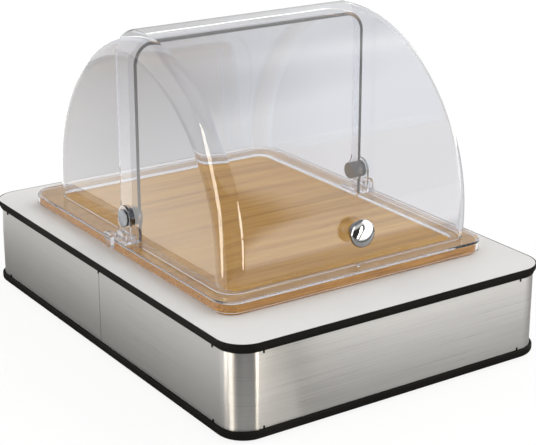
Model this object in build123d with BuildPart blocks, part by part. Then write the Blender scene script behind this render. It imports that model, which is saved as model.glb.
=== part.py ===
"""Countertop bread display bin: steel-sided base, wooden board and a clear roll-top cover.

Millimetres. +Z is up, +X runs along the front, -Y is the front with the knob,
and the origin is on the counter under the middle of the base.
"""
import os
from math import asin, atan2, cos, degrees, radians, sin, sqrt

from build123d import *

# ---- base ----
base_width = 322.0
base_depth = 440.0
base_corner = 25.0          # outer radius of both trims at the corners
trim_overhang = 2.6         # how far the trims stand out past the steel
trim_width = 17.0           # from a trim's outer face to its inner edge
foot_protrusion = 1.2       # how far the feet hold the trim off the counter
bottom_trim_height = 8.1
steel_visible = 66.1        # bare steel between the two trims
top_trim_height = 8.3
steel_thickness = 1.0
steel_bite = 3.5            # depth of the steel's lower edge in its groove
steel_tuck = 1.6            # how far the steel's upper edge goes under the top trim
groove_play = 0.05
trim_leg = 2.5              # inner leg that backs the steel
trim_leg_reach = 5.4        # how far the top leg hangs below the trim's edge
bottom_leg_rise = 2.7       # how far the bottom leg stands above the trim's edge
trim_lip = 0.5              # top trim's thin edge over the steel
trim_band = 4.6             # upright part of the top trim, above its taper
knee_round = 3.0
lower_edge_round = 4.0
upper_edge_round = 1.5
seam_width = 0.6            # joint of the steel wrap, on the left side
seam_y = 0.5
splice_width = 30.0
splice_thickness = 1.0
splice_margin = 6.0         # clear of both trims' legs
tab_width = 1.6             # small moulded ticks that lap over the steel
tab_rise = 2.2
tab_from_corner_x = 29.5
tab_from_corner_y = 34.0

# ---- floor panel, feet and posts ----
panel_thickness = 3.0
panel_play = 0.3
ledge_thickness = 3.0       # bottom trim's ledge under the panel
panel_seat_width = 10.0     # how much of the panel lies on the ledge
foot_diameter = 18.0
foot_inset = 33.0
post_diameter = 9.0
post_from_corner = 13.0     # from the corner's arc centre, along the diagonal
screw_diameter = 3.2
screw_head_diameter = 6.4
screw_play = 0.1
screw_length = 16.0         # depth of each screw's hole in a post
screw_tip_gap = 0.5

# ---- white plate ----
plate_thickness = 4.0
plate_lip = 0.8             # black edge left around the plate
plate_play = 0.1
plate_edge_break = 0.3
plate_seat = 2.4            # top trim's ledge under the plate

# ---- board ----
board_width = 266.0
board_depth = 341.0
board_thickness = 9.5
board_corner = 14.5
board_centre_y = 4.75       # the board stands a little back on the base
board_edge_round = 1.0

# ---- cover rim ----
rim_play = 0.5              # between the skirt and the board
skirt_thickness = 2.5
flange_thickness = 2.9
flange_width = 28.0
flange_slope_margin = 0.3   # from the rear shell in to where the flange starts to slope down
flange_inner_edge = 0.5     # thickness left there
flange_corner = 9.0         # inner corners of the flange
skirt_gap = 2.5             # from the skirt's lower edge to the plate
rim_edge_round = 1.2
pip_radius = 1.4
pip_height = 1.0
front_pip_x = 2.0
front_pip_gap = 0.9         # in front of the front shell
back_pip_x = 68.0
back_pip_inset = 5.5

# ---- shells ----
wall = 3.0
pivot_height = 20.8         # above the flange
lid_side_gap = 9.0          # from the rim's outer side in to the front shell
lid_front_gap = 10.7        # from the rim's front edge in to the front shell
lid_end_round = 18.0
shell_gap = 5.2             # between the front shell and the rear one inside it
rear_end_round = 18.0
shell_lap = 9.7             # each shell's cut edge, past the pivot
lid_foot_gap = 0.3
lid_ear_radius = 13.0
rear_ear_radius = 12.0
ear_blend = 3.0
bracket_clearance = 2.5     # lid's foot line ends this far before the bracket

# ---- brackets ----
bracket_plate = 2.5
bracket_half_length = 12.25
bracket_inboard = 1.1       # from the rear shell's wall to the bracket's plate
lug_radius = 11.2
lug_thickness = 2.0
tab_half_length = 7.0
tab_thickness = 3.0
tab_height = 11.3
tab_window_wall = 3.0
tab_window_height = 5.0
tab_round = 4.0
tab_offset = -3.5           # the tab's middle, behind the pivot
hook_start = 7.25           # behind the pivot
hook_length = 11.0
hook_inboard = 2.5
hook_outboard = 3.8
hook_drop = 7.3
hook_height = 4.9
hook_play = 0.05

# ---- pivots ----
pin_radius = 3.0
running_clearance = 0.05
side_play = 0.2
washer_thickness = 0.4
washer_radius = 7.0
cap_radius = 7.9
outer_cap_thickness = 1.4
inner_cap_thickness = 3.0
cap_edge_break = 0.5
pin_bite = 1.0              # how far the pin goes into each cap

# ---- knob ----
knob_rise_deg = 3.7         # above the level of the pivot
knob_length = 13.3
knob_radius = 12.0
knob_foot_radius = 8.2
knob_flare_radius = 26.0    # hollow side between the foot and the head
knob_edge = 1.6             # straight edge of the head
knob_dome = 2.5
knob_screw_radius = 2.0
knob_screw_bite = 9.0
knob_screw_head_radius = 3.8
knob_screw_head_height = 1.8
knob_washer_radius = 5.0
knob_washer_thickness = 0.9
knob_washer_gap = 0.1       # the flat washer bridges the shell's hollow side

# ---- heights and places worked out from the values above ----
trim_bottom = foot_protrusion
bottom_trim_top = trim_bottom + bottom_trim_height
top_trim_bottom = bottom_trim_top + steel_visible
plate_top = top_trim_bottom + top_trim_height
plate_bottom = plate_top - plate_thickness
plate_seat_bottom = plate_bottom - plate_seat
steel_bottom = bottom_trim_top - steel_bite
steel_top = top_trim_bottom + steel_tuck
panel_bottom = trim_bottom + ledge_thickness
panel_top = panel_bottom + panel_thickness
board_top = plate_top + board_thickness
flange_top = board_top + flange_thickness
pivot_y = board_centre_y
pivot_z = flange_top + pivot_height
half_width = base_width / 2
half_depth = base_depth / 2
steel_face = half_width - trim_overhang
steel_inner = steel_face - steel_thickness
rim_half_width = board_width / 2 + rim_play + skirt_thickness
rim_half_depth = board_depth / 2 + rim_play + skirt_thickness
rim_corner = board_corner + rim_play + skirt_thickness
lid_radius = rim_half_depth - lid_front_gap         # front shell, the outer one, which rolls
lid_half_width = rim_half_width - lid_side_gap
rear_radius = lid_radius - wall - shell_gap         # rear shell, the inner one
rear_half_width = lid_half_width - wall - shell_gap
lid_foot = flange_top + lid_foot_gap
bracket_top = flange_top + bracket_plate
washer_face = lid_half_width + side_play
lug_face = washer_face + washer_thickness
cap_seat = lug_face + lug_thickness
pivot_centre = Vector(0, pivot_y, pivot_z)
pivot_axis = Axis(pivot_centre, (1, 0, 0))
pin_bore = pin_radius + running_clearance
sides = {"left": -1, "right": 1}
corner_signs = [(sx, sy) for sx in (-1, 1) for sy in (-1, 1)]
post_step = post_from_corner / sqrt(2)
post_places = [
    (sx * (half_width - base_corner + post_step), sy * (half_depth - base_corner + post_step))
    for sx, sy in corner_signs
]
foot_places = [
    (sx * (half_width - foot_inset), sy * (half_depth - foot_inset)) for sx, sy in corner_signs
]

os.makedirs("parts", exist_ok=True)


def save(builder, name):
    """Label a finished piece and write it as one STEP file."""
    builder.part.label = name
    export_step(builder.part, f"parts/{name}.step")


def board_frame(height):
    """A level plane centred over the board."""
    return Plane((0, board_centre_y, height))


def side_plane(x):
    """A plane across X, with local x along +Y and local y along +Z."""
    return Plane((x, 0, 0), x_dir=(0, 1, 0), z_dir=(1, 0, 0))


def base_outline(inset, mode=Mode.ADD):
    """The base's rounded outline, moved in by an inset."""
    RectangleRounded(base_width - 2 * inset, base_depth - 2 * inset, base_corner - inset, mode=mode)


def base_ring(outer_inset, inner_inset):
    """A closed band between two copies of the base's outline."""
    base_outline(outer_inset)
    base_outline(inner_inset, mode=Mode.SUBTRACT)


def rim_outline(inset, corner, mode=Mode.ADD):
    """The cover rim's rounded outline, moved in by an inset."""
    RectangleRounded(2 * (rim_half_width - inset), 2 * (rim_half_depth - inset), corner, mode=mode)


def steel_ticks(with_middle):
    """Half-round ticks on the steel's face: two near each corner, and one over the seam."""
    face_y = half_depth - trim_overhang
    along_x = half_width - tab_from_corner_x
    along_y = half_depth - tab_from_corner_y
    places = [(sx * steel_face, sy * along_y) for sx, sy in corner_signs]
    places += [(sx * along_x, sy * face_y) for sx, sy in corner_signs]
    if with_middle:
        places.append((-steel_face, seam_y))
    with Locations(*places):
        Circle(tab_width / 2)
    base_outline(trim_overhang - groove_play, mode=Mode.SUBTRACT)


# ---- bottom trim: a black moulded ring that carries the floor and the steel ----
steel_inset = trim_overhang + steel_thickness
panel_seat_inset = trim_width - panel_seat_width
with BuildPart() as bottom_trim:
    with BuildSketch(Plane.XY.offset(trim_bottom)):
        base_ring(0, trim_width)
    extrude(amount=bottom_trim_height)
    outer_edges = bottom_trim.faces().sort_by(Axis.Z)[0].outer_wire().edges()
    fillet(outer_edges, radius=lower_edge_round)
    outer_edges = bottom_trim.faces().sort_by(Axis.Z)[-1].outer_wire().edges()
    fillet(outer_edges, radius=upper_edge_round)
    with BuildSketch(Plane.XY.offset(bottom_trim_top)):
        base_ring(steel_inset + groove_play, panel_seat_inset)
    extrude(amount=bottom_leg_rise)
    with BuildSketch(Plane.XY.offset(panel_bottom)):
        base_ring(panel_seat_inset, trim_width)
    extrude(amount=bottom_trim_top - panel_bottom, mode=Mode.SUBTRACT)
    with BuildSketch(Plane.XY.offset(steel_bottom)):
        base_ring(trim_overhang - groove_play, steel_inset + groove_play)
    extrude(amount=steel_bite, mode=Mode.SUBTRACT)
    with BuildSketch(Plane.XY.offset(bottom_trim_top - upper_edge_round)):
        steel_ticks(with_middle=False)
    extrude(amount=upper_edge_round + tab_rise)
    # countersunk holes, from below, for the screws into the posts
    with Locations(*[Location((x, y, trim_bottom), (180, 0, 0)) for x, y in post_places]):
        CounterSinkHole(
            radius=screw_diameter / 2 + screw_play,
            counter_sink_radius=screw_head_diameter / 2 + screw_play,
            depth=ledge_thickness,
        )
save(bottom_trim, "bottom_trim")

# ---- floor panel, lying on the bottom trim's ledge ----
panel_inset = panel_seat_inset + panel_play
with BuildPart() as base_panel:
    with BuildSketch(Plane.XY.offset(panel_bottom)):
        base_outline(panel_inset)
        with Locations(*post_places):
            Circle(screw_diameter / 2 + screw_play, mode=Mode.SUBTRACT)
    extrude(amount=panel_thickness)
save(base_panel, "base_panel")

# ---- rubber feet, stuck under the floor panel and standing out below the trim ----
with BuildPart() as rubber_feet:
    with BuildSketch():
        with Locations(*foot_places):
            Circle(foot_diameter / 2)
    extrude(amount=panel_bottom)
    chamfer(rubber_feet.edges().group_by(Axis.Z)[0], length=foot_protrusion / 2)
save(rubber_feet, "rubber_feet")

# ---- brushed steel wrap, bent from one strip and butted together on the left ----
with BuildPart() as steel_band:
    with BuildSketch(Plane.XY.offset(steel_bottom)):
        base_ring(trim_overhang, steel_inset)
        with Locations((-steel_face, seam_y)):
            Rectangle(4 * steel_thickness, seam_width, mode=Mode.SUBTRACT)
    extrude(amount=steel_top - steel_bottom)
save(steel_band, "steel_band")

# ---- strip behind the butt joint ----
splice_bottom = bottom_trim_top + bottom_leg_rise + splice_margin
splice_top = top_trim_bottom - trim_leg_reach - splice_margin
with BuildPart() as band_splice:
    with BuildSketch(side_plane(-steel_inner)):
        with Locations((seam_y, (splice_bottom + splice_top) / 2)):
            Rectangle(splice_width, splice_top - splice_bottom)
    extrude(amount=splice_thickness)
save(band_splice, "band_splice")

# ---- top trim: a black ring that leans out to its upper edge and frames the white plate ----
trim_lean = trim_overhang - groove_play - trim_lip
trim_taper = top_trim_height - trim_band
knee_height = plate_top - trim_band
leg_inset = steel_inset + groove_play
with BuildPart() as top_trim:
    with BuildSketch(Plane.XY.offset(plate_top)):
        base_outline(0)
    extrude(amount=-trim_band)
    knee = top_trim.faces().sort_by(Axis.Z)[0]
    extrude(knee, amount=trim_taper, taper=degrees(atan2(trim_lean, trim_taper)))
    fillet(top_trim.edges().filter_by_position(Axis.Z, knee_height, knee_height), radius=knee_round)
    with BuildSketch(Plane.XY.offset(top_trim_bottom)):
        base_outline(leg_inset)
    extrude(amount=plate_seat_bottom - top_trim_bottom, mode=Mode.SUBTRACT)
    with BuildSketch(Plane.XY.offset(top_trim_bottom)):
        base_outline(trim_width)
    extrude(amount=top_trim_height, mode=Mode.SUBTRACT)
    with BuildSketch(Plane.XY.offset(plate_bottom)):
        base_outline(plate_lip)
    extrude(amount=plate_thickness, mode=Mode.SUBTRACT)
    with BuildSketch(Plane.XY.offset(top_trim_bottom - trim_leg_reach)):
        base_ring(leg_inset, leg_inset + trim_leg)
    extrude(amount=plate_seat_bottom - top_trim_bottom + trim_leg_reach)
    with BuildSketch(Plane.XY.offset(top_trim_bottom)):
        base_ring(trim_overhang - groove_play, leg_inset)
    extrude(amount=steel_tuck, mode=Mode.SUBTRACT)
    with BuildSketch(Plane.XY.offset(top_trim_bottom + steel_tuck)):
        steel_ticks(with_middle=True)
    extrude(amount=-steel_tuck - tab_rise)
    with Locations(*[(x, y, plate_bottom) for x, y in post_places]):
        CounterSinkHole(
            radius=screw_diameter / 2 + screw_play,
            counter_sink_radius=screw_head_diameter / 2 + screw_play,
            depth=plate_seat,
        )
save(top_trim, "top_trim")

# ---- corner posts between the floor panel and the top trim's ledge ----
with BuildPart() as corner_posts:
    with BuildSketch(Plane.XY.offset(panel_top)):
        with Locations(*post_places):
            Circle(post_diameter / 2)
    extrude(amount=plate_seat_bottom - panel_top)
    pilot_radius = screw_diameter / 2 + groove_play
    with Locations(*[Location((x, y, plate_seat_bottom)) for x, y in post_places]):
        Hole(radius=pilot_radius, depth=screw_length)
    with Locations(*[Location((x, y, panel_top), (180, 0, 0)) for x, y in post_places]):
        Hole(radius=pilot_radius, depth=screw_length)
save(corner_posts, "corner_posts")


def post_screws(head_face, direction, length):
    """One countersunk screw at each post, its flat head flush with a face and its shank along Z."""
    with BuildPart() as screws:
        for radius, reach, taper in (
            (screw_diameter / 2, length, 0),
            (screw_head_diameter / 2, (screw_head_diameter - screw_diameter) / 2, 45),
        ):
            with BuildSketch(Plane.XY.offset(head_face)):
                with Locations(*post_places):
                    Circle(radius)
            extrude(amount=direction * reach, taper=taper)
    return screws


trim_screws = post_screws(plate_bottom, -1, plate_seat + screw_length - screw_tip_gap)
save(trim_screws, "trim_screws")
base_screw_reach = ledge_thickness + panel_thickness + screw_length - screw_tip_gap
base_screws = post_screws(trim_bottom, 1, base_screw_reach)
save(base_screws, "base_screws")

# ---- white plate, lying in the top trim ----
plate_inset = plate_lip + plate_play
with BuildPart() as top_plate:
    with BuildSketch(Plane.XY.offset(plate_bottom)):
        base_outline(plate_inset)
    extrude(amount=plate_thickness)
    chamfer(top_plate.faces().sort_by(Axis.Z)[-1].edges(), length=plate_edge_break)
save(top_plate, "top_plate")

# ---- wooden board ----
with BuildPart() as cutting_board:
    with BuildSketch(board_frame(plate_top)):
        RectangleRounded(board_width, board_depth, board_corner)
    extrude(amount=board_thickness)
    fillet(cutting_board.faces().sort_by(Axis.Z)[0].edges(), radius=board_edge_round)
    fillet(cutting_board.faces().sort_by(Axis.Z)[-1].edges(), radius=board_edge_round)
save(cutting_board, "cutting_board")

# ---- cover rim: a flange on the board's top edge and a skirt round its sides ----
skirt_bottom = plate_top + skirt_gap
slope_drop = flange_thickness - flange_inner_edge
slope_width = flange_width - (rim_half_depth - rear_radius + wall) - flange_slope_margin
slope_taper = degrees(atan2(slope_width, slope_drop))
pip_places = [(front_pip_x, pivot_y - lid_radius - front_pip_gap)]
pip_places += [(sx * back_pip_x, board_centre_y + rim_half_depth - back_pip_inset) for sx in (-1, 1)]
with BuildPart() as cover_rim:
    with BuildSketch(board_frame(skirt_bottom)):
        rim_outline(0, rim_corner)
    extrude(amount=flange_top - skirt_bottom)
    fillet(cover_rim.faces().sort_by(Axis.Z)[-1].edges(), radius=rim_edge_round)
    with BuildSketch(board_frame(skirt_bottom)):
        rim_outline(skirt_thickness, rim_corner - skirt_thickness)
    extrude(amount=board_top - skirt_bottom, mode=Mode.SUBTRACT)
    with BuildSketch(board_frame(board_top)):
        rim_outline(flange_width, flange_corner)
    extrude(amount=flange_thickness, mode=Mode.SUBTRACT)
    with BuildSketch(board_frame(board_top + flange_inner_edge)):
        rim_outline(flange_width, flange_corner)
    extrude(amount=slope_drop, taper=-slope_taper, mode=Mode.SUBTRACT)
    with BuildSketch(Plane.XY.offset(flange_top)):
        with Locations(*pip_places):
            Circle(pip_radius)
    extrude(amount=pip_height, taper=20)
save(cover_rim, "cover_rim")


def drum_profile(radius, half_width, end_round):
    """Half of a drum's lengthwise section, on the pivot's axis, with rounded ends."""
    with BuildSketch(Plane(pivot_centre, x_dir=(1, 0, 0), z_dir=(0, -1, 0))) as profile:
        with Locations((0, radius / 2)):
            Rectangle(2 * half_width, radius)
        fillet(profile.vertices().group_by(Axis.Y)[-1], radius=end_round)
    return profile.sketch


def hollow_drum(radius, half_width, end_round):
    """Turn a drum about the pivot's axis, with one wall thickness all round."""
    revolve(drum_profile(radius, half_width, end_round), axis=pivot_axis)
    cavity = drum_profile(radius - wall, half_width - wall, end_round - wall)
    revolve(cavity, axis=pivot_axis, mode=Mode.SUBTRACT)


def side_disc(x, radius):
    """A disc about the pivot's axis, across X."""
    with BuildSketch(side_plane(x)) as disc:
        with Locations((pivot_y, pivot_z)):
            Circle(radius)
    return disc.sketch


def pivot_disc(side, inner, outer, radius, mode=Mode.ADD):
    """Turn a disc about the pivot's axis on one side, between two distances from the middle."""
    extrude(side_disc(side * inner, radius), amount=side * (outer - inner), mode=mode)


def pivot_holes(half_width):
    """Running holes for the pivot pins through both end walls."""
    for side in sides.values():
        pivot_disc(side, half_width - 2 * wall, half_width + wall, pin_bore, mode=Mode.SUBTRACT)


# ---- rear shell: the inner quarter drum, standing on the rim ----
rear_cut = pivot_y - shell_lap
rear_reach = pivot_y + rear_radius + wall
rear_top = pivot_z + rear_radius + wall
with BuildPart() as rear_shell:
    hollow_drum(rear_radius, rear_half_width, rear_end_round)
    with BuildSketch(side_plane(0)) as rear_side:
        with BuildLine():
            Polyline(
                (rear_cut, flange_top),
                (rear_reach, flange_top),
                (rear_reach, rear_top),
                (rear_cut, rear_top),
                close=True,
            )
        make_face()
        with Locations((pivot_y, pivot_z)):
            Circle(rear_ear_radius)
        ear_step = sqrt(rear_ear_radius**2 - shell_lap**2)
        for end in (-ear_step, ear_step):
            fillet(rear_side.vertices().sort_by_distance((rear_cut, pivot_z + end))[0], radius=ear_blend)
    extrude(amount=rear_half_width + wall, both=True, mode=Mode.INTERSECT)
    pivot_holes(rear_half_width)
save(rear_shell, "rear_shell")

# ---- front shell: the outer quarter drum, which rolls back over the rear one ----
lid_cut = pivot_y + shell_lap
lid_step = pivot_y - bracket_half_length - bracket_clearance
lid_ear_bottom = pivot_z - lid_ear_radius
lid_reach = pivot_y - lid_radius - wall
lid_top = pivot_z + lid_radius + wall
knob_rise = radians(knob_rise_deg)
knob_direction = Vector(0, -cos(knob_rise), sin(knob_rise))
knob_axis = Axis(pivot_centre, knob_direction)


def knob_plane(radius):
    """A plane across the knob's axis, at a distance from the pivot's axis."""
    return Plane(pivot_centre + knob_direction * radius, x_dir=(1, 0, 0), z_dir=knob_direction)


with BuildPart() as front_shell:
    hollow_drum(lid_radius, lid_half_width, lid_end_round)
    with BuildSketch(side_plane(0)) as lid_side:
        with BuildLine():
            Polyline(
                (lid_reach, lid_foot),
                (lid_step, lid_foot),
                (lid_step, lid_ear_bottom),
                (pivot_y, lid_ear_bottom),
                (pivot_y, pivot_z),
                (lid_cut, pivot_z),
                (lid_cut, lid_top),
                (lid_reach, lid_top),
                close=True,
            )
        make_face()
        with Locations((pivot_y, pivot_z)):
            Circle(lid_ear_radius)
        ear_meets_cut = (lid_cut, pivot_z + sqrt(lid_ear_radius**2 - shell_lap**2))
        for corner in (ear_meets_cut, (lid_step, lid_foot), (lid_step, lid_ear_bottom)):
            fillet(lid_side.vertices().sort_by_distance(corner)[0], radius=ear_blend)
    extrude(amount=lid_half_width + wall, both=True, mode=Mode.INTERSECT)
    pivot_holes(lid_half_width)
    with BuildSketch(knob_plane(lid_radius - 2 * wall)):
        Circle(knob_screw_radius + screw_play)
    extrude(amount=3 * wall, mode=Mode.SUBTRACT)
save(front_shell, "front_shell")

# ---- knob, turned in one piece, with its screw and washer inside the shell ----
with BuildPart() as knob:
    with BuildSketch(Plane(pivot_centre, x_dir=(1, 0, 0), z_dir=Vector(1, 0, 0).cross(knob_direction))):
        with BuildLine():
            face_edge = lid_radius + knob_length - knob_dome
            shoulder = (knob_radius, face_edge - knob_edge)
            foot = (knob_foot_radius, lid_radius)
            bore = knob_screw_radius + groove_play
            tip = (0, lid_radius + knob_length)
            dome_radius = (knob_radius**2 + knob_dome**2) / (2 * knob_dome)
            dome_half_angle = degrees(asin(knob_radius / dome_radius))
            Line((bore, lid_radius), foot)
            RadiusArc(foot, shoulder, knob_flare_radius)
            Line(shoulder, (knob_radius, face_edge))
            CenterArc((0, tip[1] - dome_radius), dome_radius, 90 - dome_half_angle, dome_half_angle)
            bore_end = lid_radius + knob_screw_bite
            Polyline(tip, (0, bore_end), (bore, bore_end), (bore, lid_radius))
        make_face()
    revolve(axis=knob_axis)
save(knob, "knob")

washer_inner_face = lid_radius - wall - knob_washer_gap
with BuildPart() as knob_washer:
    with BuildSketch(knob_plane(washer_inner_face)):
        Circle(knob_washer_radius)
        Circle(knob_screw_radius + screw_play, mode=Mode.SUBTRACT)
    extrude(amount=-knob_washer_thickness)
save(knob_washer, "knob_washer")

screw_seat = washer_inner_face - knob_washer_thickness
with BuildPart() as knob_screw:
    with BuildSketch(knob_plane(screw_seat)):
        Circle(knob_screw_head_radius)
    extrude(amount=-knob_screw_head_height)
    head_rim = knob_screw.edges().filter_by(GeomType.CIRCLE).sort_by(Axis.Y)[-1]
    fillet(head_rim, radius=knob_screw_head_height / 2)
    with BuildSketch(knob_plane(screw_seat)):
        Circle(knob_screw_radius)
    extrude(amount=lid_radius + knob_screw_bite - screw_tip_gap - screw_seat)
save(knob_screw, "knob_screw")

# ---- one bracket each side: a lug outside the walls, standing on a plate hooked over the rim ----
bracket_front = pivot_y - bracket_half_length
hook_front = pivot_y + hook_start
hook_back = hook_front + hook_length
plate_inner = rear_half_width + bracket_inboard
rim_side = rim_half_width + hook_play
tab_middle = pivot_y + tab_offset


def side_block(side, inner, outer, low, high):
    """A block on one side, between two distances from the middle and two (y, z) corners."""
    with BuildSketch(side_plane(side * inner)) as block:
        with Locations(((low[0] + high[0]) / 2, (low[1] + high[1]) / 2)):
            Rectangle(high[0] - low[0], high[1] - low[1])
    extrude(block.sketch, amount=side * (outer - inner))


for side_name, side in sides.items():
    with BuildPart() as bracket:
        plate_low, plate_high = (bracket_front, flange_top), (hook_back, bracket_top)
        side_block(side, plate_inner, rim_half_width, plate_low, plate_high)
        # the lug, round about the pivot
        with BuildSketch(side_plane(side * lug_face)):
            with Locations((pivot_y, (flange_top + pivot_z) / 2)):
                Rectangle(2 * lug_radius, pivot_height)
            with Locations((pivot_y, pivot_z)):
                Circle(lug_radius)
                Circle(pin_bore, mode=Mode.SUBTRACT)
        extrude(amount=side * lug_thickness)
        # the finger tab, arched and open in the middle
        with BuildSketch(side_plane(side * (rim_half_width - tab_thickness))) as tab_face:
            with Locations((tab_middle, flange_top + tab_height / 2)):
                Rectangle(2 * tab_half_length, tab_height)
            fillet(tab_face.vertices().group_by(Axis.Y)[-1], radius=tab_round)
            with Locations((tab_middle, bracket_top + tab_window_height / 2)):
                Rectangle(2 * (tab_half_length - tab_window_wall), tab_window_height, mode=Mode.SUBTRACT)
        extrude(amount=side * tab_thickness)
        # the hook over the flange's edge
        side_block(
            side,
            rim_side,
            rim_side + hook_outboard,
            (hook_front, flange_top - hook_drop),
            (hook_back, flange_top + hook_height),
        )
        side_block(
            side,
            rim_half_width - hook_inboard,
            rim_side + hook_outboard,
            (hook_front, flange_top),
            (hook_back, flange_top + hook_height),
        )
    save(bracket, f"{side_name}_bracket")


# ---- pivots: pin, caps, spacer and washer on each side ----
pin_seat = rear_half_width - wall
for side_name, side in sides.items():
    with BuildPart() as pivot_pin:
        pivot_disc(side, pin_seat - pin_bite, cap_seat + pin_bite, pin_radius)
    save(pivot_pin, f"{side_name}_pivot_pin")

    with BuildPart() as inner_cap:
        pivot_disc(side, pin_seat, pin_seat - inner_cap_thickness, cap_radius)
        chamfer(inner_cap.edges().sort_by(Axis.X)[0 if side > 0 else -1], length=cap_edge_break)
        pivot_disc(side, pin_seat, pin_seat - pin_bite, pin_bore, mode=Mode.SUBTRACT)
    save(inner_cap, f"{side_name}_inner_cap")

    with BuildPart() as outer_cap:
        pivot_disc(side, cap_seat, cap_seat + outer_cap_thickness, cap_radius)
        chamfer(outer_cap.edges().sort_by(Axis.X)[-1 if side > 0 else 0], length=cap_edge_break)
        pivot_disc(side, cap_seat, cap_seat + pin_bite, pin_bore, mode=Mode.SUBTRACT)
    save(outer_cap, f"{side_name}_outer_cap")

    with BuildPart() as spacer:
        pivot_disc(side, rear_half_width, lid_half_width - wall - side_play, cap_radius)
        pivot_disc(side, rear_half_width, lid_half_width, pin_bore, mode=Mode.SUBTRACT)
    save(spacer, f"{side_name}_spacer")

    with BuildPart() as pivot_washer:
        pivot_disc(side, washer_face, lug_face, washer_radius)
        pivot_disc(side, washer_face, lug_face, pin_bore, mode=Mode.SUBTRACT)
    save(pivot_washer, f"{side_name}_pivot_washer")
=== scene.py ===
import math
import bmesh
import bpy
from mathutils import Matrix, Vector


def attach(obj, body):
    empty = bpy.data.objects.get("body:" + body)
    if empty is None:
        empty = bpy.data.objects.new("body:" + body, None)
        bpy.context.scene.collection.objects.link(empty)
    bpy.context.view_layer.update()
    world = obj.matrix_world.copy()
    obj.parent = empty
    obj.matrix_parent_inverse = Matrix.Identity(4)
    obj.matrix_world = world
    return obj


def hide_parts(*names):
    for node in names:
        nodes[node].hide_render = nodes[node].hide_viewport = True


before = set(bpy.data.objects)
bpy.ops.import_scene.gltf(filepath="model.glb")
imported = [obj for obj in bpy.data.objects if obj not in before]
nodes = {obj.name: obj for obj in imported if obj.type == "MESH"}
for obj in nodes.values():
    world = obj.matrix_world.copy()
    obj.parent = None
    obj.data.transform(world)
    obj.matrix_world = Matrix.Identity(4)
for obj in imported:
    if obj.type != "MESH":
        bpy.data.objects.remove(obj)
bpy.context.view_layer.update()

mm = 0.001
hair = 1e-6  # points closer than this, in metres, are one
print("frame loaded:", len(nodes), "nodes")


def outlet(source):
    # a node stands for its first output
    return source.outputs[0] if isinstance(source, bpy.types.Node) else source


def put(tree, kind, sockets=None, **settings):
    # adds a node, sets its options, and fills its sockets by name or number
    node = tree.nodes.new(kind)
    for key, value in settings.items():
        setattr(node, key, value)
    for key, value in (sockets or {}).items():
        socket = node.inputs[key]
        if isinstance(value, (bpy.types.Node, bpy.types.NodeSocket)):
            tree.links.new(outlet(value), socket)
        else:
            socket.default_value = value
    return node


def addObject(name, data):
    made = bpy.data.objects.new(name, data)
    bpy.context.scene.collection.objects.link(made)
    return made


def newMaterial(name):
    material = bpy.data.materials.new(name)
    material.use_nodes = True
    tree = material.node_tree
    tree.nodes.clear()
    return material, tree


def finishWith(tree, shader):
    end = tree.nodes.new("ShaderNodeOutputMaterial")
    tree.links.new(outlet(shader), end.inputs["Surface"])


def grainAt(tree, scale, detail=3.0, roughness=0.5, distortion=0.0, offset=(0, 0, 0)):
    # noise in metres, with its own stretch along each axis
    place = put(tree, "ShaderNodeTexCoord").outputs["Object"]
    mapping = put(tree, "ShaderNodeMapping", {"Vector": place, "Scale": scale, "Location": offset})
    return put(tree, "ShaderNodeTexNoise", {
        "Vector": mapping, "Scale": 1.0, "Detail": detail, "Roughness": roughness,
        "Distortion": distortion})


def span(tree, value, low, high, newLow=0, newHigh=1, soft=False):
    return put(tree, "ShaderNodeMapRange", {
        "Value": value, "From Min": low, "From Max": high, "To Min": newLow, "To Max": newHigh},
        interpolation_type="SMOOTHSTEP" if soft else "LINEAR")


def mixColours(tree, factor, first, second):
    node = tree.nodes.new("ShaderNodeMix")
    node.data_type = "RGBA"
    for key, value in (("Factor", factor), ("A", first), ("B", second)):
        socket = [s for s in node.inputs if s.name == key and s.enabled][0]
        if isinstance(value, (bpy.types.Node, bpy.types.NodeSocket)):
            tree.links.new(outlet(value), socket)
        else:
            socket.default_value = value if key == "Factor" else (*value, 1)
    return [s for s in node.outputs if s.enabled][0]


def blend(tree, share, first, second):
    return put(tree, "ShaderNodeMix", {0: share, 2: first, 3: second})


def blendShaders(tree, share, first, second):
    return put(tree, "ShaderNodeMixShader", {0: share, 1: first, 2: second})


def glow(tree, colour, level, kind="Emission"):
    return put(tree, "ShaderNode" + kind, {"Color": (*colour, 1), "Strength": level})


def arithmetic(tree, operation, first, second=0.0):
    return put(tree, "ShaderNodeMath", {0: first, 1: second}, operation=operation)


def bumpOf(tree, height, strength, depth):
    return put(tree, "ShaderNodeBump", {"Height": height, "Strength": strength, "Distance": depth})


def heading(azimuth):
    # level direction, 0 to the front and 90 to the right
    angle = math.radians(azimuth)
    return (math.sin(angle), -math.cos(angle), 0)


def cosines(*degrees):
    return [math.cos(math.radians(angle)) for angle in degrees]


def dress(name, material):
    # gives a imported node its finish
    for slot in nodes[name].material_slots:
        slot.material = material


cameraPlace = {
    "azimuth": -33.795, "elevation": 19.558, "roll": -0.057,
    "location": (-0.71887, -1.10073, 0.55551), "lens": 102.28,
}


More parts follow.
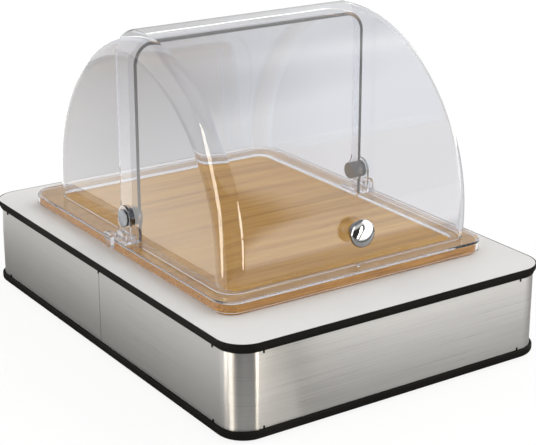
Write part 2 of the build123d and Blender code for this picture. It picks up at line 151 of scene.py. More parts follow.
def makeCamera(place):
    azimuth, elevation, roll = (math.radians(place[k]) for k in ("azimuth", "elevation", "roll"))
    back = Vector((math.sin(azimuth) * math.cos(elevation),
                   -math.cos(azimuth) * math.cos(elevation), math.sin(elevation)))
    right = Vector((math.cos(azimuth), math.sin(azimuth), 0))
    up = back.cross(right)
    turnedRight = right * math.cos(roll) + up * math.sin(roll)
    turnedUp = up * math.cos(roll) - right * math.sin(roll)
    camera = addObject("camera", bpy.data.cameras.new("camera"))
    camera.data.sensor_fit = "HORIZONTAL"
    camera.data.sensor_width = 36
    camera.data.lens = place["lens"]
    camera.data.clip_start, camera.data.clip_end = 0.05, 60
    facing = Matrix((turnedRight, turnedUp, back)).transposed().to_4x4()
    camera.matrix_world = Matrix.Translation(place["location"]) @ facing
    bpy.context.scene.camera = camera


makeCamera(cameraPlace)
print("camera placed")

# the room: bright panels to the right, the left and behind, dark where the camera stands
room = {
    "panelColour": (1.0, 0.985, 0.95), "overheadColour": (0.97, 0.98, 1.0),
    "panels": (  # middle and half width in degrees, and level
        (82.0, 62.0, 3.4), (146.0, 26.0, 0.8), (-135.0, 45.0, 1.9),
    ),
    "panelEdge": 13.0, "panelTop": (0.76, 0.88), "elsewhere": 0.7, "overheadLevel": 0.25,
    "darkMiddle": -21.0, "darkHalf": 53.7, "darkEdge": 1.2, "darkLevel": 0.1,
    "darkTop": (0.33, 0.42), "aboveDark": 1.5,
    # what shows through the plastic
    "glassTint": (0.98, 0.98, 1.0), "behindGlass": 0.42, "backPanel": (146.0, 24.0, 0.75),
    "backEdge": 10.0,
}


def makeWorld(values):
    world = bpy.data.worlds.new("studio room")
    world.use_nodes = True
    tree = world.node_tree
    tree.nodes.clear()
    direction = put(tree, "ShaderNodeTexCoord").outputs["Generated"]
    levelled = put(tree, "ShaderNodeVectorMath", {0: direction, 1: (1, 1, 0)}, operation="MULTIPLY")
    levelled = put(tree, "ShaderNodeVectorMath", {0: levelled}, operation="NORMALIZE")
    height = put(tree, "ShaderNodeSeparateXYZ", {0: direction}).outputs["Z"]

    def sector(middle, half, edge):
        facing = put(tree, "ShaderNodeVectorMath", {0: levelled, 1: heading(middle)},
                     operation="DOT_PRODUCT")
        return span(tree, facing.outputs["Value"], *cosines(half + edge, half - edge), soft=True)

    level = values["elsewhere"]
    for middle, half, strength in values["panels"]:
        level = blend(tree, sector(middle, half, values["panelEdge"]), level, strength)
    dark = span(tree, height, *values["darkTop"], values["darkLevel"], values["aboveDark"],
                soft=True)
    wedge = sector(values["darkMiddle"], values["darkHalf"], values["darkEdge"])
    level = blend(tree, wedge, level, dark)
    upper = span(tree, height, *values["panelTop"], soft=True)
    level = blend(tree, upper, level, values["overheadLevel"])
    colour = mixColours(tree, upper, values["panelColour"], values["overheadColour"])
    lit = put(tree, "ShaderNodeBackground", {"Color": colour, "Strength": level})
    white = glow(tree, (1, 1, 1), 1.0, "Background")
    middle, half, backLevel = values["backPanel"]
    behind = sector(middle, half, values["backEdge"])
    through = blend(tree, behind, values["behindGlass"], backLevel)
    pale = glow(tree, values["glassTint"], through, "Background")
    path = tree.nodes.new("ShaderNodeLightPath")
    mixed = blendShaders(tree, path.outputs["Is Transmission Ray"], lit, pale)
    mixed = blendShaders(tree, path.outputs["Is Camera Ray"], mixed, white)
    end = tree.nodes.new("ShaderNodeOutputWorld")
    tree.links.new(mixed.outputs[0], end.inputs["Surface"])
    bpy.context.scene.world = world


makeWorld(room)

ground = {
    "reach": 9.0, "colour": (0.86, 0.86, 0.865), "mottle": (0.9, 0.9, 0.9), "mottleScale": 3.0,
    "whiteShare": 0.88,
    # in reflections the floor glows with painted light: where it counts as left of the base, the
    # painted shadow near it and the brighter glow away from it
    "baseHalf": (0.161, 0.22), "leftOf": (-0.17, -0.15),
    "leftRamp": (0.06, 0.12), "frontRamp": (0.13, 0.24),
    "nearLeft": (0.34, 0.14), "nearLeftFrom": (-0.25, 0.3), "nearFront": 0.3, "nearDark": 0.75,
    "farLeft": (2.3, 0.8), "farLeftFrom": (0.15, 0.5), "farFront": 3.6, "farDark": 0.1,
    "darkCorner": (-0.12, -0.18), "darkEdge": 1.5,
    # through the plastic: painted shade, the floor's glow darker to the left
    "glassTint": (0.975, 0.985, 1.0), "paintedGlassShade": (0.29, 0.66), "glassFrom": (-0.18, 0.1),
    "glassAcross": (0.831, 0.556), "glassShare": 0.75,
}


def makeFloor(values, around):
    mesh = bpy.data.meshes.new("floor")
    reach = values["reach"]
    corners = [(-reach, -reach, 0), (reach, -reach, 0), (reach, reach, 0), (-reach, reach, 0)]
    mesh.from_pydata(corners, [], [(0, 1, 2, 3)])
    floor = addObject("floor", mesh)
    material, tree = newMaterial("pale floor")
    mottle = grainAt(tree, (values["mottleScale"],) * 3)
    colour = mixColours(tree, mottle, values["colour"], values["mottle"])
    matt = put(tree, "ShaderNodeBsdfDiffuse", {"Color": colour})
    path = tree.nodes.new("ShaderNodeLightPath")
    place = put(tree, "ShaderNodeTexCoord").outputs["Object"]
    parts = put(tree, "ShaderNodeSeparateXYZ", {0: place})
    x, y = parts.outputs["X"], parts.outputs["Y"]

    # white to the camera
    white = glow(tree, (1, 1, 1), 1.0)
    share = arithmetic(tree, "MULTIPLY", path.outputs["Is Camera Ray"], values["whiteShare"])
    shader = blendShaders(tree, share, matt, white)

    # in reflections the floor glows with a painted reflection of the room's bright and dark parts,
    # and painted shadow makes it dimmer beside the base
    halfX, halfY = values["baseHalf"]
    outX = arithmetic(tree, "SUBTRACT", arithmetic(tree, "ABSOLUTE", x), halfX)
    outY = arithmetic(tree, "SUBTRACT", arithmetic(tree, "ABSOLUTE", y), halfY)
    toward = put(tree, "ShaderNodeVectorMath", {0: place, 1: (*values["darkCorner"], 0)},
                 operation="SUBTRACT")
    toward = put(tree, "ShaderNodeVectorMath", {0: toward}, operation="NORMALIZE")
    facing = put(tree, "ShaderNodeVectorMath", {0: toward, 1: heading(around["darkMiddle"])},
                 operation="DOT_PRODUCT")
    half, edge = around["darkHalf"], values["darkEdge"]
    dark = span(tree, facing.outputs["Value"], *cosines(half + edge, half - edge), soft=True)
    left = span(tree, x, *values["leftOf"], 1, 0)
    ramp = span(tree, outX, *values["leftRamp"], soft=True)
    farLeft = arithmetic(tree, "MULTIPLY", left, ramp)
    ramp = span(tree, outY, *values["frontRamp"], soft=True)
    far = arithmetic(tree, "MAXIMUM", farLeft, ramp)
    # painted shadow of the base: the floor's glow in reflections is kept low near the base
    nearLeft = span(tree, y, *values["nearLeftFrom"], *values["nearLeft"])
    near = blend(tree, left, values["nearFront"], nearLeft)
    near = blend(tree, dark, near, values["nearDark"])
    leftLevel = span(tree, outX, *values["farLeftFrom"], *values["farLeft"])
    away = blend(tree, left, values["farFront"], leftLevel)
    away = blend(tree, dark, away, values["farDark"])
    # painted reflection: the floor's glow seen only in reflections
    paintedReflection = glow(tree, around["panelColour"], blend(tree, far, near, away))
    shader = blendShaders(tree, path.outputs["Is Glossy Ray"], shader, paintedReflection)

    # painted shade: seen through the plastic the floor glows at a painted level that is darker to
    # the left
    shareX, shareY = values["glassAcross"]
    across = arithmetic(tree, "SUBTRACT", arithmetic(tree, "MULTIPLY", x, shareX),
                        arithmetic(tree, "MULTIPLY", y, shareY))
    level = span(tree, across, *values["glassFrom"], *values["paintedGlassShade"])
    behind = blendShaders(tree, values["glassShare"], matt, glow(tree, values["glassTint"], level))
    shader = blendShaders(tree, path.outputs["Is Transmission Ray"], shader, behind)
    finishWith(tree, shader)
    mesh.materials.append(material)


makeFloor(ground, room)

overhead = {"size": (1.6, 1.6), "radiance": 0.3, "place": (-0.2, -0.2, 2.4), "target": (0, 0, 0)}


def areaLamp(name, values):
    light = bpy.data.lights.new(name, "AREA")
    light.shape = "RECTANGLE"
    light.size, light.size_y = values["size"]
    light.energy = values["radiance"] * math.pi * light.size * light.size_y
    lamp = addObject(name, light)
    aim = (Vector(values["target"]) - Vector(values["place"])).to_track_quat("-Z", "Y")
    lamp.matrix_world = Matrix.Translation(values["place"]) @ aim.to_matrix().to_4x4()


areaLamp("overhead box", overhead)

# what makes the bright bands on the plastic and the steel's corner
bands = {
    "colour": (1.0, 0.93, 0.8), "level": 13.0, "cardHeight": 0.0008,
    # upright lamps: azimuth, half width in degrees and height in metres, from the floor up
    "strips": {
        "left strip": {"origin": (-0.124, -0.142), "distance": 2.5, "line": (
            (-79.5, 8.5, 0.001), (-77.0, 8.0, 0.7), (-70.5, 7.0, 1.9), (-67.0, 5.0, 3.0))},
        "right strip": {"origin": (-0.11, -0.154), "distance": 2.5, "level": 14.0, "line": (
            (19.5, 6.5, 0.001), (21.0, 6.0, 0.55), (23.0, 3.0, 0.9))},
    },
    # reflectors on the floor: middle line and half width along it, in metres
    "cards": {
        "leftCard": {"line": (
            (-0.38, -0.135, 0.025), (-0.43, -0.125, 0.04), (-0.5, -0.121, 0.05),
            (-0.606, -0.133, 0.065), (-0.778, -0.161, 0.09), (-1.187, -0.258, 0.15),
            (-2.03, -0.36, 0.27))},
        "rightCard": {"line": (
            (-0.018, -0.45, 0.016), (0.028, -0.588, 0.045), (0.13, -0.876, 0.08),
            (0.5, -1.82, 0.2))},
        "leftSteelCard": {"level": 0.8, "line": (
            (-0.175, -0.195, 0.004), (-0.25, -0.19, 0.009), (-0.34, -0.184, 0.016))},
        "rightSteelCard": {"level": 0.5, "line": (
            (-0.135, -0.232, 0.003), (-0.106, -0.307, 0.008), (-0.076, -0.385, 0.012))},
    },
}


def glowSheet(name, points, level):
    # a bright sheet that shows only in reflections
    mesh = bpy.data.meshes.new(name)
    count = len(points) // 2
    faces = [(2 * i, 2 * i + 1, 2 * i + 3, 2 * i + 2) for i in range(count - 1)]
    mesh.from_pydata(points, [], faces)
    sheet = addObject(name, mesh)
    material, tree = newMaterial(name)
    finishWith(tree, glow(tree, bands["colour"], level))
    mesh.materials.append(material)
    sheet.visible_camera = sheet.visible_diffuse = sheet.visible_shadow = False
    sheet.visible_transmission = sheet.visible_volume_scatter = False


def stripPoints(values):
    points = []
    for azimuth, half, height in values["line"]:
        for edge in (-half, half):
            out = Vector(heading(azimuth + edge)) * values["distance"]
            points.append(out + Vector((*values["origin"], height)))
    return points


def cardPoints(values):
    line, points = values["line"], []
    for i, (x, y, half) in enumerate(line):
        before, after = line[max(i - 1, 0)], line[min(i + 1, len(line) - 1)]
        along = Vector((after[0] - before[0], after[1] - before[1], 0)).normalized()
        side = Vector((-along.y, along.x, 0)) * half
        middle = Vector((x, y, bands["cardHeight"]))
        points += [middle + side, middle - side]
    return points


for kind, outline in (("strips", stripPoints), ("cards", cardPoints)):
    for name, values in bands[kind].items():
        glowSheet(name, outline(values), values.get("level", bands["level"]))
bpy.context.scene.view_settings.view_transform = "Standard"
print("studio lit")

plasticLook = {
    "colour": (0.912, 0.922, 0.955), "ior": 1.49, "rimIor": 1.32, "shadow": (0.95, 0.95, 0.95),
    "waveHeight": 0.00025, "waveSize": 0.08,
}


def clearPlastic(values, name, ior, waves=1.0):
    # shadows and matt bounces pass straight through; what is looked at bends and mirrors
    material, tree = newMaterial(name)
    wave = grainAt(tree, (1 / values["waveSize"],) * 3, detail=1.0)
    bump = bumpOf(tree, wave, waves, values["waveHeight"])
    shader = put(tree, "ShaderNodeBsdfPrincipled", {
        "Base Color": (*values["colour"], 1), "Roughness": 0.0, "IOR": ior,
        "Transmission Weight": 1.0, "Normal": bump})
    through = put(tree, "ShaderNodeBsdfTransparent", {"Color": (*values["shadow"], 1)})
    path = tree.nodes.new("ShaderNodeLightPath")
    shader = blendShaders(tree, path.outputs["Is Shadow Ray"], shader, through)
    finishWith(tree, blendShaders(tree, path.outputs["Is Diffuse Ray"], shader, through))
    return material


woodLook = {
    "pale": (0.47, 0.265, 0.058), "middle": (0.35, 0.172, 0.031), "dark": (0.12, 0.045, 0.008),
    "endPale": (0.62, 0.3, 0.07), "endDark": (0.28, 0.11, 0.022),
    "streakAlong": 5.0, "streakAcross": 150.0, "fibreScale": (25.0, 1600.0, 1600.0),
    "poreScale": (300.0, 420.0, 700.0),
    # where the noise turns a tone on, and how much of it at most
    "broadSpan": (0.3, 0.7), "streakSpan": (0.48, 0.76), "streakShare": 0.6,
    "fibreSpan": (0.35, 0.75), "fibreShare": 0.25, "sideShare": 0.75,
    "rough": (0.45, 0.6), "gloss": 0.15, "fibreDepth": 0.0001,
}


def boardWood(values):
    material, tree = newMaterial("oiled beech")
    along, across = values["streakAlong"], values["streakAcross"]
    broad = grainAt(tree, (along * 0.5, across * 0.35, across * 0.5), detail=2, distortion=0.3)
    streak = grainAt(tree, (along, across, across), detail=5, roughness=0.6, distortion=0.4)
    fibre = grainAt(tree, values["fibreScale"], detail=2, offset=(3, 1, 2))
    broadly = span(tree, broad, *values["broadSpan"])
    tone = mixColours(tree, broadly, values["pale"], values["middle"])
    lines = span(tree, streak, *values["streakSpan"], 0, values["streakShare"])
    tone = mixColours(tree, lines, tone, values["dark"])
    fine = span(tree, fibre, *values["fibreSpan"], 0, values["fibreShare"])
    tone = mixColours(tree, fine, tone, values["dark"])
    # the long sides in the end grain's tones, and end grain with pores at both ends
    normal = put(tree, "ShaderNodeNewGeometry").outputs["Normal"]
    facing = put(tree, "ShaderNodeSeparateXYZ", {0: normal}).outputs
    onEnd = span(tree, arithmetic(tree, "ABSOLUTE", facing["X"]), 0.5, 0.8)
    onSide = span(tree, arithmetic(tree, "ABSOLUTE", facing["Z"]), 0.75, 0.35, 0,
                  values["sideShare"])
    pores = grainAt(tree, values["poreScale"], detail=3, roughness=0.7)
    for share, marks in ((onSide, span(tree, fibre, 0.4, 0.65)),
                         (onEnd, span(tree, pores, 0.42, 0.62))):
        endTone = mixColours(tree, marks, values["endPale"], values["endDark"])
        tone = mixColours(tree, share, tone, endTone)
    bump = bumpOf(tree, fibre, 0.25, values["fibreDepth"])
    rough = span(tree, streak, 0.3, 0.7, *values["rough"])
    finishWith(tree, put(tree, "ShaderNodeBsdfPrincipled", {
        "Base Color": tone, "Roughness": rough, "Normal": bump,
        "Specular IOR Level": values["gloss"]}))
    return material


steelLook = {
    "pale": (0.41, 0.404, 0.401), "dark": (0.345, 0.339, 0.336), "rough": (0.27, 0.34),
    "lineScale": (6.0, 6.0, 3200.0), "lineDepth": 0.00004, "patchScale": (9.0, 9.0, 30.0),
    "patchShare": 0.35,
}


def brushedSteel(values):
    material, tree = newMaterial("brushed steel")
    lines = grainAt(tree, values["lineScale"], detail=3, roughness=0.65)
    patches = grainAt(tree, values["patchScale"], detail=2)
    colour = mixColours(tree, span(tree, lines, 0.35, 0.65), values["dark"], values["pale"])
    worn = span(tree, patches, 0.3, 0.7, 0, values["patchShare"])
    colour = mixColours(tree, worn, colour, values["pale"])
    rough = span(tree, lines, 0.3, 0.7, *values["rough"])
    bump = bumpOf(tree, lines, 0.12, values["lineDepth"])
    tangent = put(tree, "ShaderNodeTangent", direction_type="RADIAL", axis="Z")
    finishWith(tree, put(tree, "ShaderNodeBsdfPrincipled", {
        "Base Color": colour, "Metallic": 1.0, "Roughness": rough, "Anisotropic": 1.0,
        "Anisotropic Rotation": 0.25, "Tangent": tangent, "Normal": bump}))
    return material


def mouldedPlastic(name, pale, dark, rough, grainSize, depth, gloss=0.5):
    # coloured plastic with a fine moulded texture and slight tone changes
    material, tree = newMaterial(name)
    grain = grainAt(tree, (1 / grainSize,) * 3, detail=2)
    patches = grainAt(tree, (14, 14, 14), detail=2, offset=(1, 5, 2))
    colour = mixColours(tree, span(tree, patches, 0.3, 0.7), pale, dark)
    colour = mixColours(tree, span(tree, grain, 0.4, 0.7, 0, 0.3), colour, dark)
    bump = bumpOf(tree, grain, 0.3, depth)
    level = span(tree, patches, 0.3, 0.7, *rough)
    finishWith(tree, put(tree, "ShaderNodeBsdfPrincipled", {
        "Base Color": colour, "Roughness": level, "Normal": bump, "Specular IOR Level": gloss}))
    return material


def polishedMetal(name, pale, dark, rough):
    material, tree = newMaterial(name)
    marks = grainAt(tree, (120, 120, 120), detail=4, roughness=0.7)
    colour = mixColours(tree, span(tree, marks, 0.35, 0.65), pale, dark)
    level = span(tree, marks, 0.3, 0.7, *rough)
    finishWith(tree, put(tree, "ShaderNodeBsdfPrincipled", {
        "Base Color": colour, "Metallic": 1.0, "Roughness": level}))
    return material


clear = clearPlastic(plasticLook, "clear polycarbonate", plasticLook["ior"])
clearRim = clearPlastic(plasticLook, "clear moulded rim", plasticLook["rimIor"], waves=0.5)
clearMoulded = clearPlastic(plasticLook, "clear moulded bracket", plasticLook["ior"], waves=0.3)
wood = boardWood(woodLook)
steel = brushedSteel(steelLook)

# pale and dark tone, roughness, grain size and depth in metres, and gloss
mouldedLooks = {
    "black moulding": ((0.009, 0.008, 0.0072), (0.006, 0.0056, 0.005), (0.62, 0.75),
                       0.0005, 0.00004, 0.05),
    "white laminate": ((0.6, 0.6, 0.605), (0.57, 0.57, 0.58), (0.36, 0.44),
                       0.0008, 0.00002, 0.35),
    "dark panel": ((0.03, 0.03, 0.03), (0.02, 0.02, 0.02), (0.5, 0.6), 0.001, 0.00005),
    "black rubber": ((0.02, 0.02, 0.02), (0.012, 0.012, 0.012), (0.65, 0.8), 0.0006, 0.00005),
    "grey post plastic": ((0.2, 0.2, 0.2), (0.14, 0.14, 0.14), (0.5, 0.6), 0.0008, 0.00004),
    "black washer": ((0.02, 0.02, 0.022), (0.013, 0.013, 0.014), (0.45, 0.6), 0.0005, 0.00003),
    "pale washer": ((0.6, 0.6, 0.58), (0.5, 0.5, 0.48), (0.4, 0.5), 0.0005, 0.00003),
}
blackTrim, whitePlate, floorPanel, rubber, postPlastic, washerDark, washerPale = (
    mouldedPlastic(name, *look) for name, look in mouldedLooks.items())

# pale and dark tone, and roughness
metalLooks = {
    "chrome": ((0.72, 0.73, 0.74), (0.66, 0.67, 0.69), (0.04, 0.08)),
    "knob chrome": ((0.36, 0.365, 0.37), (0.31, 0.315, 0.325), (0.03, 0.07)),
    "satin cap": ((0.17, 0.178, 0.195), (0.13, 0.137, 0.152), (0.12, 0.2)),
    "plated screw steel": ((0.55, 0.55, 0.54), (0.45, 0.45, 0.44), (0.25, 0.4)),
}
chrome, knobChrome, satinCap, screwSteel = (
    polishedMetal(name, *look) for name, look in metalLooks.items())

nodeFinishes = (
    (clear, ("cover_rim", "rear_shell", "front_shell", "left_bracket", "right_bracket")),
    (wood, ("cutting_board",)),
    (steel, ("steel_band", "band_splice")),
    (blackTrim, ("bottom_trim", "top_trim")),
    (whitePlate, ("top_plate",)),
    (floorPanel, ("base_panel",)),
    (rubber, ("rubber_feet",)),
    (postPlastic, ("corner_posts",)),
    (washerDark, ("left_pivot_washer", "right_pivot_washer")),
    (washerPale, ("knob_washer",)),
    (screwSteel, ("trim_screws", "base_screws", "knob_screw")),
    (chrome, ("left_pivot_pin", "right_pivot_pin", "left_inner_cap", "right_inner_cap",
              "left_outer_cap", "right_outer_cap", "left_spacer", "right_spacer", "knob")),
)
for finish, names in nodeFinishes:
    for name in names:
        dress(name, finish)
print("materials made")

# quarter drums with rounded ends; all in millimetres, from the pivots' axis
shells = {
    "pivotY": 4.75, "pivotZ": 116.9, "wall": 3.0, "lap": 9.7, "seatGap": 0.06, "softReach": 3.0,
    "front": {"radius": 162.76, "halfWidth": 127.0, "endRound": 18.0, "foot": -20.5,
              "ear": 13.0, "step": 14.75, "facing": -1},
    "rear": {"radius": 154.6, "halfWidth": 118.8, "endRound": 18.0, "foot": -20.8,
             "ear": 12.0, "step": None, "facing": 1},
    "roundSteps": 14, "turnSteps": 96, "earSteps": 24, "softSteps": 6, "holeSides": 48,
    "pinHole": {"radius": 3.05, "length": 270.0},
    "screwHole": {"radius": 2.1, "length": 20.0, "out": 161.0, "rise": 86.3},
}


def roundedEnds(radius, halfWidth, endRound, steps):
    # points across the drum, from one flat end wall round to the other
    turns = [math.pi / 2 * i / steps for i in range(steps + 1)]
    points = [(-halfWidth + endRound * (1 - math.cos(turn)),
               radius - endRound * (1 - math.sin(turn))) for turn in turns]
    return points + [(-x, r) for x, r in reversed(points)]


def softCorner(points, corner, reach, steps):
    # takes a polygon's corner off with a short curve
    middle = Vector(points[corner])
    before = [p for p in points[:corner] if (Vector(p) - middle).length > reach]
    after = [p for p in points[corner + 1:] if (Vector(p) - middle).length > reach]
    start = middle + (Vector(points[corner - 1]) - middle).normalized() * reach
    end = middle + (Vector(points[corner + 1]) - middle).normalized() * reach
    curve = []
    for i in range(steps + 1):
        t = i / steps
        curve.append(tuple(start * (1 - t) ** 2 + middle * 2 * t * (1 - t) + end * t * t))
    return before + curve + after


def earPath(values, lap, steps):
    # side line from the flat wall's foot round the pivot ear and up to the cut edge
    ear, foot, step = values["ear"], values["foot"], values["step"]
    meet = math.sqrt(ear * ear - lap * lap)
    if step is None:
        path = [(-lap, foot), (-lap, -meet)]
        startAngle = math.atan2(-meet, -lap)
    else:
        path = [(step, foot), (step, -ear), (0.0, -ear)]
        startAngle = -math.pi / 2
    endAngle = math.atan2(meet, -lap)
    if startAngle < 0:
        startAngle += 2 * math.pi
    for i in range(1, steps + 1):
        angle = startAngle + (endAngle - startAngle) * i / steps
        path.append((ear * math.cos(angle), ear * math.sin(angle)))
    return path, len(path) - 1


def buildShell(values, common):
    lap, wall = common["lap"], common["wall"]
    radius, facing = values["radius"], values["facing"]
    foot = values["foot"] + (common["seatGap"] if values["step"] is None else 0)
    outer = roundedEnds(radius, values["halfWidth"], values["endRound"], common["roundSteps"])
    inner = roundedEnds(radius - wall, values["halfWidth"] - wall, values["endRound"] - wall,
                        common["roundSteps"])
    turns = common["turnSteps"]
    shape = bmesh.new()

    def vertex(x, u, v):
        return shape.verts.new((x * mm, (common["pivotY"] + facing * u) * mm,
                                (common["pivotZ"] + v) * mm))

    def skin(profile):
        rows = []
        for x, r in profile:
            low, high = math.asin(foot / r), math.acos(-lap / r)
            row = []
            for i in range(turns + 1):
                turn = low + (high - low) * i / turns
                row.append(vertex(x, r * math.cos(turn), r * math.sin(turn)))
            rows.append(row)
        return rows

    outerRows, innerRows = skin(outer), skin(inner)
    path, last = earPath({**values, "foot": foot}, lap, common["earSteps"])
    halfwayUp = (-lap, outer[0][1] * 0.5)
    soft = (common["softReach"], common["softSteps"])
    pathPoints = softCorner(path + [halfwayUp], last, *soft)
    pathPoints = softCorner(pathPoints, 1, *soft)

    def face(loop, outward):
        # the front shell faces the other way, so its loops turn round
        shape.faces.new(loop if outward == (facing > 0) else list(reversed(loop)))

    sideVerts = [[vertex(x, u, v) for u, v in pathPoints]
                 for x in (outer[0][0], outer[-1][0], inner[0][0], inner[-1][0])]
    for rows, outward in ((outerRows, True), (innerRows, False)):
        for a in range(len(rows) - 1):
            for b in range(turns):
                face([rows[a][b], rows[a][b + 1], rows[a + 1][b + 1], rows[a + 1][b]], outward)
    # flat end walls: the arc, then the cut edge, the ear and the foot
    for index, rows, rowIndex, outward in ((0, outerRows, 0, False), (1, outerRows, -1, True),
                                           (2, innerRows, 0, True), (3, innerRows, -1, False)):
        face(rows[rowIndex] + list(reversed(sideVerts[index])), outward)
    # cut edges between the two skins
    for b in (0, turns):
        for a in range(len(outerRows) - 1):
            loop = [outerRows[a][b], outerRows[a + 1][b], innerRows[a + 1][b], innerRows[a][b]]
            face(loop, b == 0)
    for outIndex, inIndex, rowIndex in ((0, 2, 0), (1, 3, -1)):
        outLine = [outerRows[rowIndex][0]] + sideVerts[outIndex] + [outerRows[rowIndex][-1]]
        inLine = [innerRows[rowIndex][0]] + sideVerts[inIndex] + [innerRows[rowIndex][-1]]
        for a in range(len(outLine) - 1):
            face([outLine[a], outLine[a + 1], inLine[a + 1], inLine[a]], rowIndex < 0)
    bmesh.ops.recalc_face_normals(shape, faces=shape.faces)
    return shape


def meshFrom(name, shape):
    mesh = bpy.data.meshes.new(name)
    shape.to_mesh(mesh)
    shape.free()
    return mesh


def finishedMesh(thing):
    # the mesh with its modifiers worked in
    graph = bpy.context.evaluated_depsgraph_get()
    return bpy.data.meshes.new_from_object(thing.evaluated_get(graph), depsgraph=graph)


def meshPiece(name, shape, material, body, node, edgeBreak=None, sharp=35):
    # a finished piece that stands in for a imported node; edges over the sharp angle stay crisp
    mesh = meshFrom(name, shape)
    piece = addObject(name, mesh)
    mesh.materials.append(material)
    mesh.shade_smooth()
    mesh.set_sharp_from_angle(angle=math.radians(sharp))
    if edgeBreak:
        bevel = piece.modifiers.new("edge break", "BEVEL")
        bevel.width, bevel.segments, bevel.limit_method = edgeBreak, 2, "ANGLE"
        bevel.angle_limit = math.radians(50)
    weigh = piece.modifiers.new("even shading", "WEIGHTED_NORMAL")
    weigh.keep_sharp = True
    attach(piece, body)
    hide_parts(node)


def cutBy(shape, cutters):
    # takes turned cutters out of a shape
    blank = addObject("blank", meshFrom("blank", shape))
    tools = []
    for radius, length, place in cutters:
        tool = bmesh.new()
        bmesh.ops.create_cone(tool, cap_ends=True, segments=shells["holeSides"],
                              radius1=radius * mm, radius2=radius * mm, depth=length * mm,
                              matrix=place)
        cutter = addObject("cutter", meshFrom("cutter", tool))
        hole = blank.modifiers.new("hole", "BOOLEAN")
        hole.operation, hole.solver, hole.object = "DIFFERENCE", "EXACT", cutter
        tools.append(cutter)
    result = bmesh.new()
    result.from_mesh(finishedMesh(blank))
    for thing in (blank, *tools):
        bpy.data.objects.remove(thing)
    return result


pivot = Vector((0, shells["pivotY"], shells["pivotZ"])) * mm
acrossX = Matrix.Rotation(math.pi / 2, 4, "Y")
pinHole = (shells["pinHole"]["radius"], shells["pinHole"]["length"],
           Matrix.Translation(pivot) @ acrossX)
drill = shells["screwHole"]
outward = (Matrix.Rotation(math.radians(drill["rise"]), 4, "X")
           @ Matrix.Translation((0, 0, drill["out"] * mm)))
screwHole = (drill["radius"], drill["length"], Matrix.Translation(pivot) @ outward)
frontShape = cutBy(buildShell(shells["front"], shells), (pinHole, screwHole))
meshPiece("frontShell", frontShape, clear, "lid", "front_shell")
rearShape = cutBy(buildShell(shells["rear"], shells), (pinHole,))
meshPiece("rearShell", rearShape, clear, "cover", "rear_shell")
print("shells made")

# the rim the shells stand on: rings of one rounded outline, each at its own inset and height
rim = {
    "halfWidth": 136.0, "halfDepth": 173.5, "centreY": 4.75, "cornerSteps": 16,
    "seatGap": 0.04, "seatBelow": 93.2, "seatInset": 2.6,
    "section": (  # inset, corner radius and height
        (0.0, 17.5, 86.7), (0.15, 17.35, 86.35), (0.5, 17.0, 86.2), (2.0, 15.5, 86.2),
        (2.35, 15.15, 86.35), (2.5, 15.0, 86.7), (2.5, 15.0, 92.4), (2.7, 14.8, 92.95),
        (3.2, 14.4, 93.2), (12.0, 12.0, 93.2), (20.3, 11.0, 93.2), (20.5, 10.9, 93.4),
        (20.5, 10.9, 95.6), (20.4, 11.0, 95.9), (20.1, 11.2, 96.05), (19.7, 11.5, 96.1),
        (12.0, 13.5, 96.1), (1.2, 16.3, 96.1), (0.82, 16.68, 96.04), (0.46, 17.04, 95.85),
        (0.2, 17.3, 95.58), (0.05, 17.45, 95.25), (0.0, 17.5, 94.9)),
    "pips": ((2.0, -158.95), (-68.0, 172.75), (68.0, 172.75)), "pipRadius": 1.4,
    "pipTaper": 0.74, "pipHeight": 0.96, "pipMiddle": 96.62,
}


def roundedOutline(halfWidth, halfDepth, corner, steps):
    points = []
    for signX, signY, start in ((1, -1, -90), (1, 1, 0), (-1, 1, 90), (-1, -1, 180)):
        for i in range(steps + 1):
            angle = math.radians(start + 90 * i / steps)
            points.append((signX * (halfWidth - corner) + corner * math.cos(angle),
                           signY * (halfDepth - corner) + corner * math.sin(angle)))
    return points


def buildRim(values):
    shape = bmesh.new()
    rings = []
    for inset, corner, z in values["section"]:
        outline = roundedOutline(values["halfWidth"] - inset, values["halfDepth"] - inset, corner,
                                 values["cornerSteps"])
        # the ledge that lies on the board stays a hair above it
        onBoard = z <= values["seatBelow"] and inset > values["seatInset"]
        lift = values["seatGap"] if onBoard else 0
        rings.append([shape.verts.new((x * mm, (y + values["centreY"]) * mm, (z + lift) * mm))
                      for x, y in outline])
    for a, ring in enumerate(rings):
        above = rings[(a + 1) % len(rings)]
        for i in range(len(ring)):
            j = (i + 1) % len(ring)
            shape.faces.new((ring[i], ring[j], above[j], above[i]))
    for x, y in values["pips"]:
        place = Matrix.Translation((x * mm, y * mm, values["pipMiddle"] * mm))
        bmesh.ops.create_cone(shape, cap_ends=True, segments=24, radius1=values["pipRadius"] * mm,
                              radius2=values["pipRadius"] * values["pipTaper"] * mm,
                              depth=values["pipHeight"] * mm, matrix=place)
    bmesh.ops.recalc_face_normals(shape, faces=shape.faces)
    return shape


meshPiece("coverRim", buildRim(rim), clearRim, "cover", "cover_rim", sharp=50)
print("rim made")

brackets = {"lift": 0.07, "edgeBreak": 0.0003}


def mergedCopy(node, lift):
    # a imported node's own shape with its triangles joined, raised a hair off what it stands on
    shape = bmesh.new()
    shape.from_mesh(nodes[node].data)
    bmesh.ops.remove_doubles(shape, verts=shape.verts, dist=hair)
    bmesh.ops.dissolve_limit(shape, angle_limit=math.radians(1), verts=shape.verts,
                             edges=shape.edges)
    for vertex in shape.verts:
        vertex.co.z += lift * mm
    return shape


for side in ("left", "right"):
    meshPiece(side + "Bracket", mergedCopy(side + "_bracket", brackets["lift"]), clearMoulded,
              "cover", side + "_bracket", edgeBreak=brackets["edgeBreak"])
print("brackets made")


